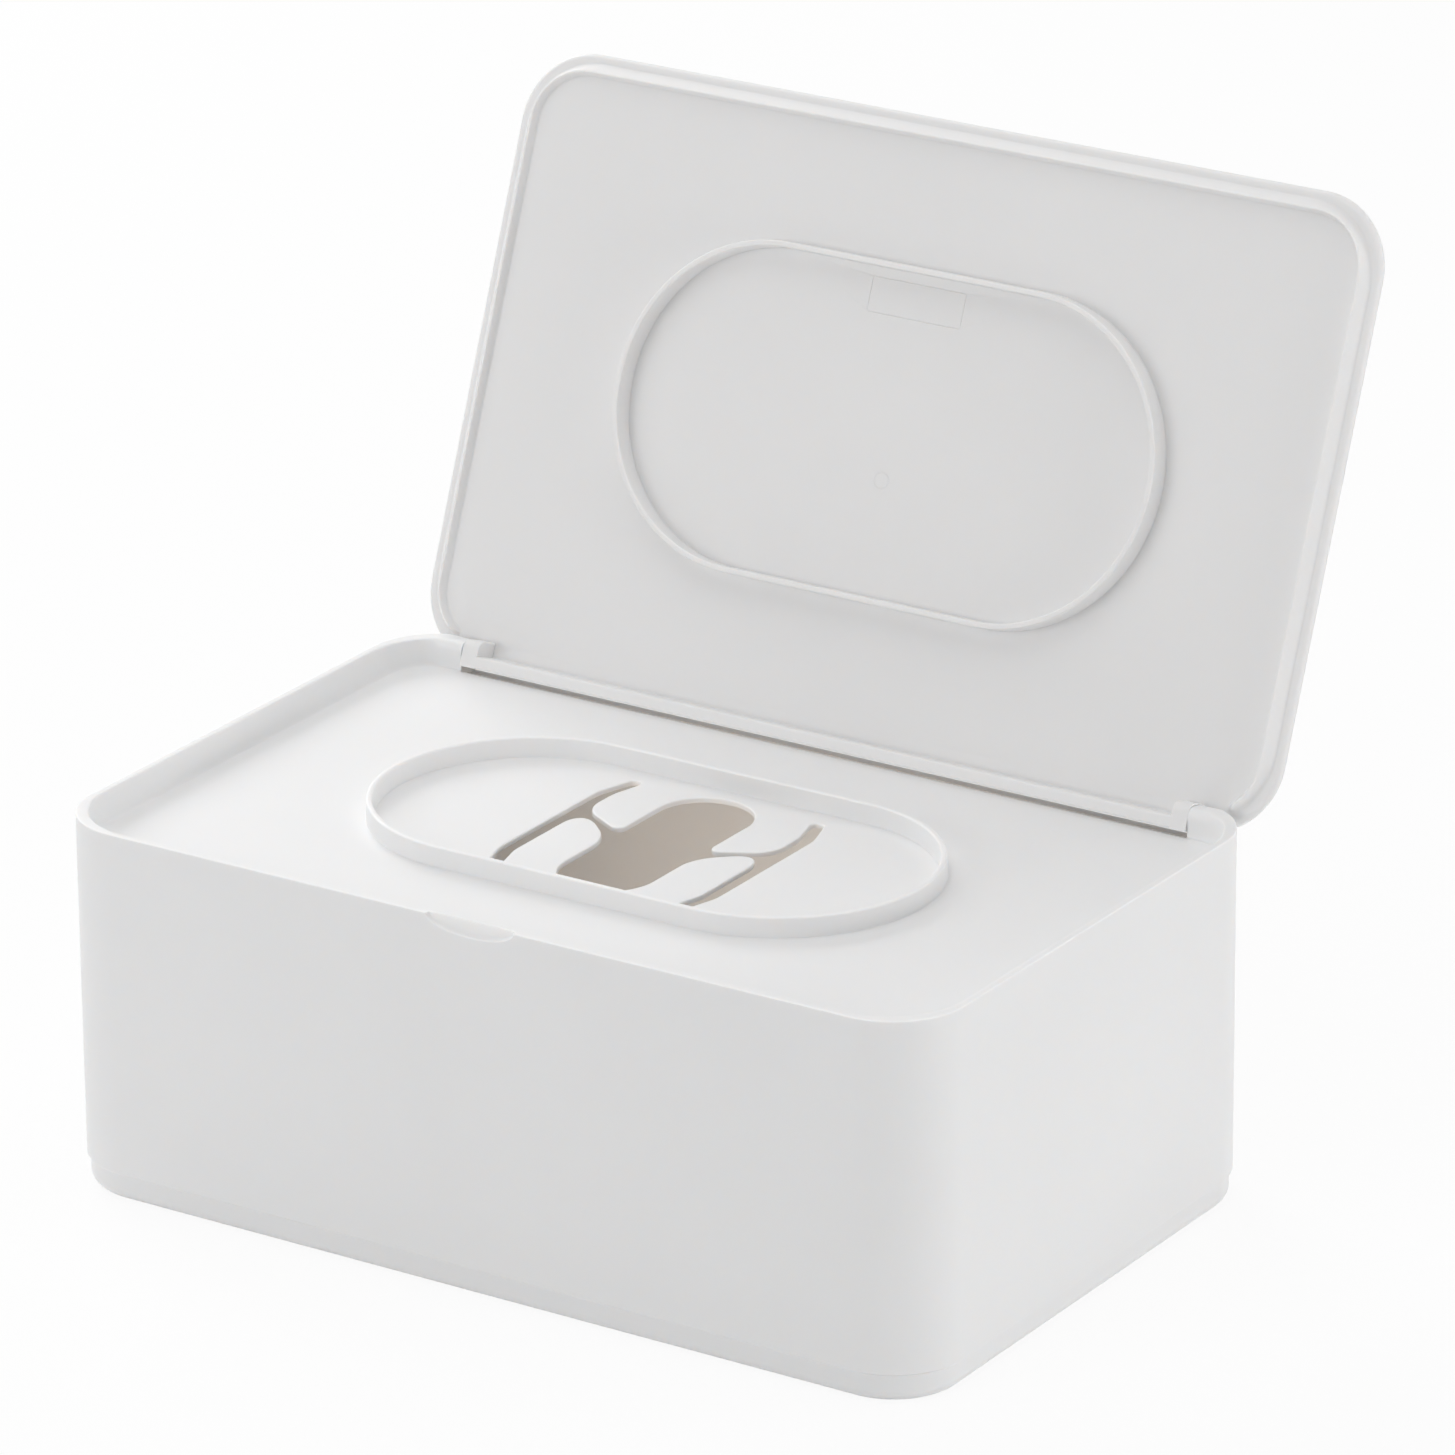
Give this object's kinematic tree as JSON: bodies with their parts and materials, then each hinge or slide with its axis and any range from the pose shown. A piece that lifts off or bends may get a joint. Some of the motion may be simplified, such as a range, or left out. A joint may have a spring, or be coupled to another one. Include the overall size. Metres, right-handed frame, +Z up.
{
  "type": "wet wipes box",
  "caption": "Rectangular refillable wipes box: case on a shallow base tray, recessed top plate with an oval ring and a tongued opening, flat lid hinged at the rear, shown open.",
  "frame": {"origin": "centre of the underside of the base tray", "axes": "+X along the hinge, to the right seen from the front; +Y from the front to the hinge; +Z up"},
  "size_m": [0.1906, 0.1658, 0.1796],
  "materials": {
    "tray_plastic": "satin white moulded plastic",
    "case_plastic": "satin white moulded plastic",
    "lid_plastic": "satin white moulded plastic"
  },
  "bodies": {
    "base_tray": {"base_tray": "tray_plastic"},
    "case": {"case": "case_plastic"},
    "lid": {"lid": "lid_plastic"}
  },
  "joints": [
    {"name": "case_lift_off", "type": "slide", "parent": "base_tray", "child": "case", "axis": [0, 0, 1], "range_m": [0, 0.09]},
    {"name": "lid_hinge", "type": "hinge", "parent": "case", "child": "lid", "pos_m": [0, 0.0578, 0.0713], "axis": [1, 0, 0], "range_deg": [0, 111.65]}
  ]
}
